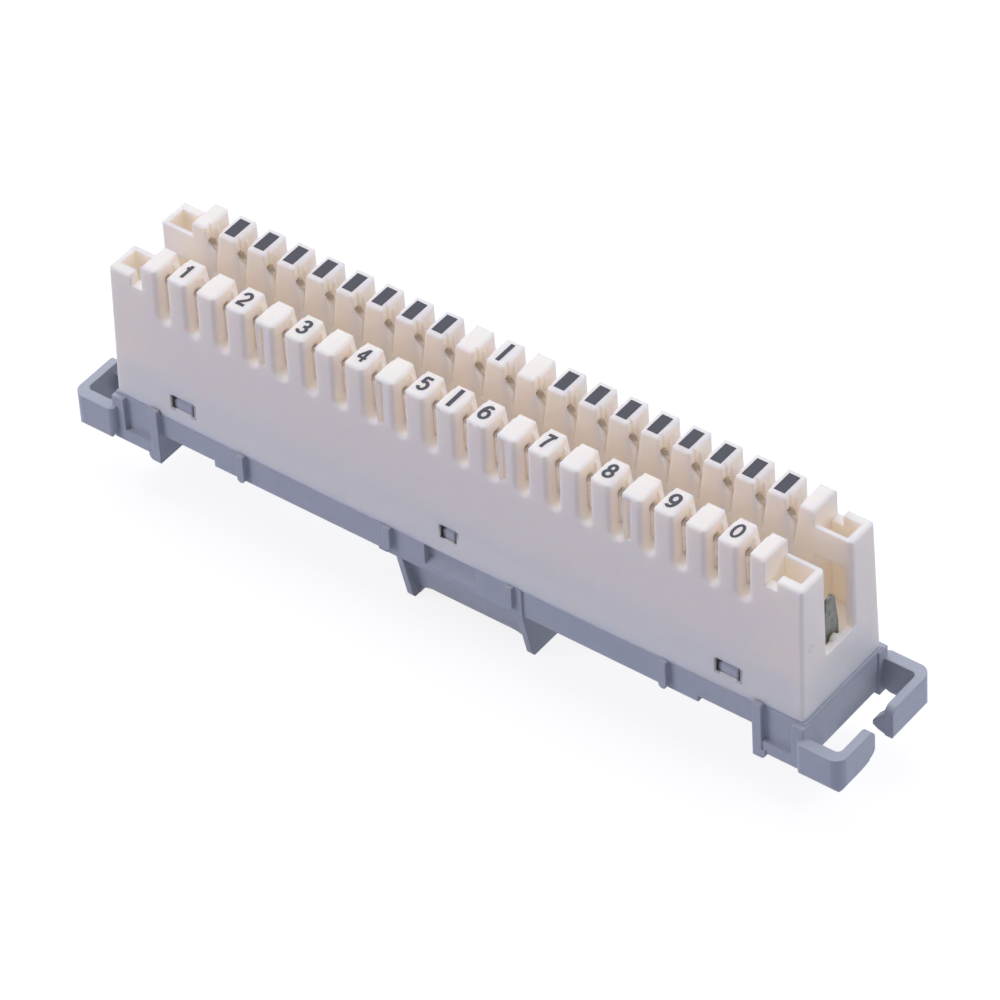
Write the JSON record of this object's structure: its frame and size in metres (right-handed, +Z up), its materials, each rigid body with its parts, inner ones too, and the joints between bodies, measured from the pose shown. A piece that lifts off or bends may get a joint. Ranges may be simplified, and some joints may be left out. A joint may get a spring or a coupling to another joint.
{
  "type": "punch down wiring block",
  "caption": "Insulation-displacement wiring block with two rows of wire slots, a disconnect channel between them and a clip-on base with open cable hooks.",
  "frame": {"origin": "centre of the block at the plane of the foot's soles", "axes": "+X along the rows towards the right end, +Y from the numbered row to the marked row, +Z up through the finger tops"},
  "size_m": [0.1256, 0.0208, 0.0402],
  "materials": {
    "ivory_plastic": "satin moulded",
    "grey_plastic": "satin moulded",
    "contact_metal": "silver-plated bronze"
  },
  "bodies": {
    "root": {"housing": "ivory_plastic", "base": "grey_plastic", "earth_contact_left": "contact_metal", "earth_contact_right": "contact_metal", "contact_front_01": "contact_metal", "contact_front_02": "contact_metal", "contact_front_03": "contact_metal", "contact_front_04": "contact_metal", "contact_front_05": "contact_metal", "contact_front_06": "contact_metal", "contact_front_07": "contact_metal", "contact_front_08": "contact_metal", "contact_front_09": "contact_metal", "contact_front_10": "contact_metal", "contact_front_11": "contact_metal", "contact_front_12": "contact_metal", "contact_front_13": "contact_metal", "contact_front_14": "contact_metal", "contact_front_15": "contact_metal", "contact_front_16": "contact_metal", "contact_front_17": "contact_metal", "contact_front_18": "contact_metal", "contact_front_19": "contact_metal", "contact_front_20": "contact_metal", "contact_back_01": "contact_metal", "contact_back_02": "contact_metal", "contact_back_03": "contact_metal", "contact_back_04": "contact_metal", "contact_back_05": "contact_metal", "contact_back_06": "contact_metal", "contact_back_07": "contact_metal", "contact_back_08": "contact_metal", "contact_back_09": "contact_metal", "contact_back_10": "contact_metal", "contact_back_11": "contact_metal", "contact_back_12": "contact_metal", "contact_back_13": "contact_metal", "contact_back_14": "contact_metal", "contact_back_15": "contact_metal", "contact_back_16": "contact_metal", "contact_back_17": "contact_metal", "contact_back_18": "contact_metal", "contact_back_19": "contact_metal", "contact_back_20": "contact_metal"}
  },
  "joints": []
}
